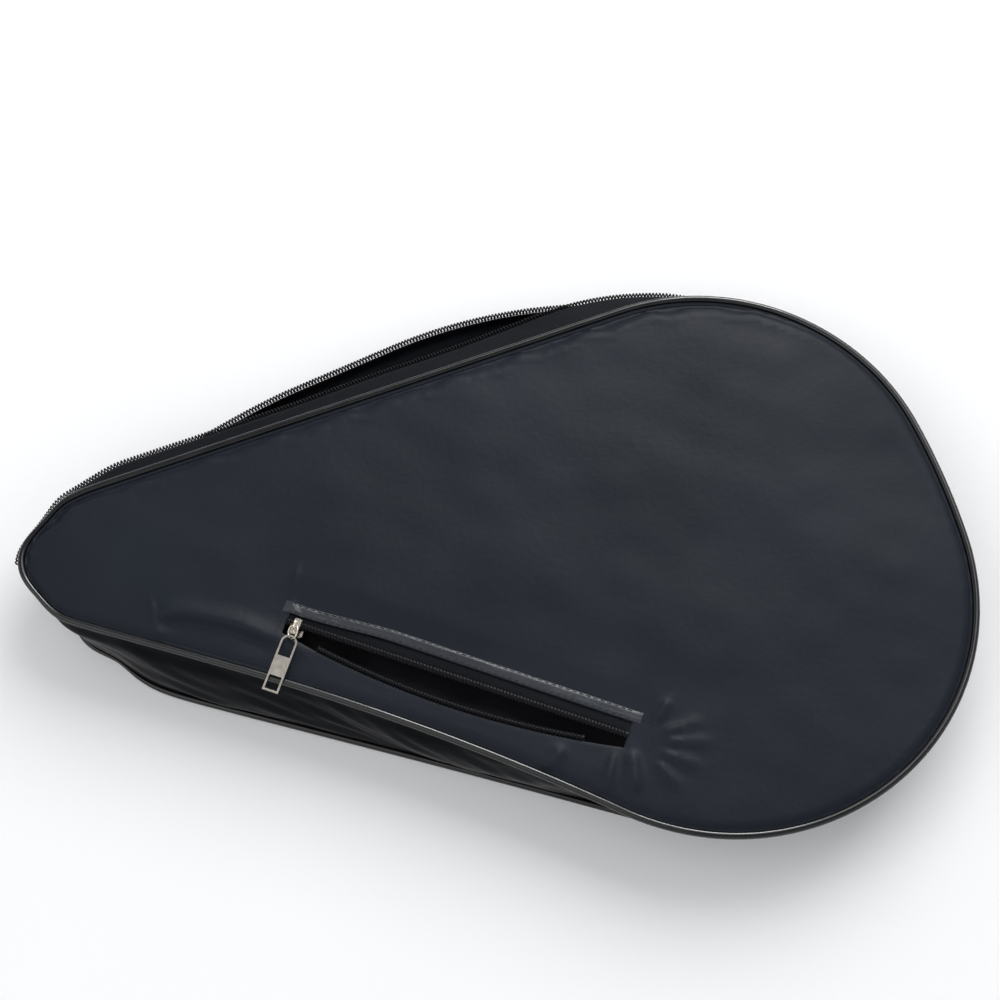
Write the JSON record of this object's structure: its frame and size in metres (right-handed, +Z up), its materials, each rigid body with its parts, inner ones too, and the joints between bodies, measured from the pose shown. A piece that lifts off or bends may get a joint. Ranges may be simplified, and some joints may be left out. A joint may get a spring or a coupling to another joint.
{
  "type": "racket cover",
  "caption": "Padded teardrop cover for a padel racket, with an open main zip along the upper edge and an open zip pocket on the front panel.",
  "frame": {"origin": "on the outer face of the back panel, which lies on the surface, near the middle of the case", "axes": "+X towards the round head, +Y towards the open main zip, +Z up out of the front panel"},
  "size_m": [0.4997, 0.3067, 0.0563],
  "materials": {
    "panel_fabric": "satin coated weave, slate black",
    "gusset_fabric": "matt coated weave, black",
    "foam": "soft foam padding",
    "lining_fabric": "plain fine weave, black",
    "piping_vinyl": "glossy vinyl over cord, black",
    "binding_tape": "plain woven tape, black",
    "zip_tape": "twill woven zip tape, black",
    "zip_coil": "nylon coil, black",
    "zip_metal": "polished pale nickel"
  },
  "bodies": {
    "root": {"back_panel": "panel_fabric", "back_padding": "foam", "back_lining": "lining_fabric", "front_panel_lower": "panel_fabric", "front_padding_lower": "foam", "front_lining_lower": "lining_fabric", "front_piping_lower": "piping_vinyl", "back_piping": "piping_vinyl", "seam_binding_front": "binding_tape", "seam_binding_back": "binding_tape", "lower_gusset": "gusset_fabric", "rear_gusset_strip": "gusset_fabric", "rear_zip_tape": "zip_tape", "rear_zip_coil": "zip_coil", "zip_end_tab_head": "gusset_fabric", "zip_end_tab_tip": "gusset_fabric", "pocket_welt": "panel_fabric", "pocket_upper_tape": "zip_tape", "pocket_upper_coil": "zip_coil", "pocket_lower_tape": "zip_tape", "pocket_lower_coil": "zip_coil", "pocket_bag_front": "lining_fabric", "pocket_bag_rear": "lining_fabric"},
    "flap": {"front_panel_upper": "panel_fabric", "front_padding_upper": "foam", "front_lining_upper": "lining_fabric", "front_piping_upper": "piping_vinyl", "seam_binding_flap": "binding_tape", "front_zip_tape": "zip_tape", "front_zip_coil": "zip_coil"},
    "main_slider": {"main_slider": "zip_metal"},
    "main_ring": {"main_ring": "zip_metal"},
    "main_pull": {"main_pull": "zip_metal"},
    "pocket_slider": {"pocket_slider": "zip_metal"},
    "pocket_ring": {"pocket_ring": "zip_metal"},
    "pocket_pull": {"pocket_pull": "zip_metal"}
  },
  "joints": [
    {"name": "flap_fold", "type": "hinge", "parent": "root", "child": "flap", "pos_m": [-0.238, 0.03, 0.0486], "axis": [0.9878, 0.1557, 0], "range_deg": [0, 65]},
    {"name": "main_slider_run", "type": "hinge", "parent": "flap", "child": "main_slider", "pos_m": [0.10804, 0.02588, 0.0335], "axis": [0, 0, 1], "range_deg": [0, 22]},
    {"name": "main_ring_swing", "type": "hinge", "parent": "main_slider", "child": "main_ring", "pos_m": [0.19882, 0.11354, 0.0335], "axis": [-0.0175, -0.9998, 0], "range_deg": [0, 80]},
    {"name": "main_pull_swing", "type": "hinge", "parent": "main_ring", "child": "main_pull", "pos_m": [0.19882, 0.11354, 0.02705], "axis": [0.6947, -0.7193, 0], "range_deg": [0, 90]},
    {"name": "pocket_slider_run", "type": "slide", "parent": "root", "child": "pocket_slider", "axis": [0.9466, -0.3223, 0], "range_m": [0, 0.166]},
    {"name": "pocket_ring_swing", "type": "hinge", "parent": "pocket_slider", "child": "pocket_ring", "pos_m": [-0.104, -0.042, 0.0538], "axis": [-0.5914, 0.4568, -0.6645], "range_deg": [0, 80]},
    {"name": "pocket_pull_swing", "type": "hinge", "parent": "pocket_ring", "child": "pocket_pull", "pos_m": [-0.10595, -0.04774, 0.05159], "axis": [-0.9466, 0.3223, 0], "range_deg": [0, 90]}
  ]
}
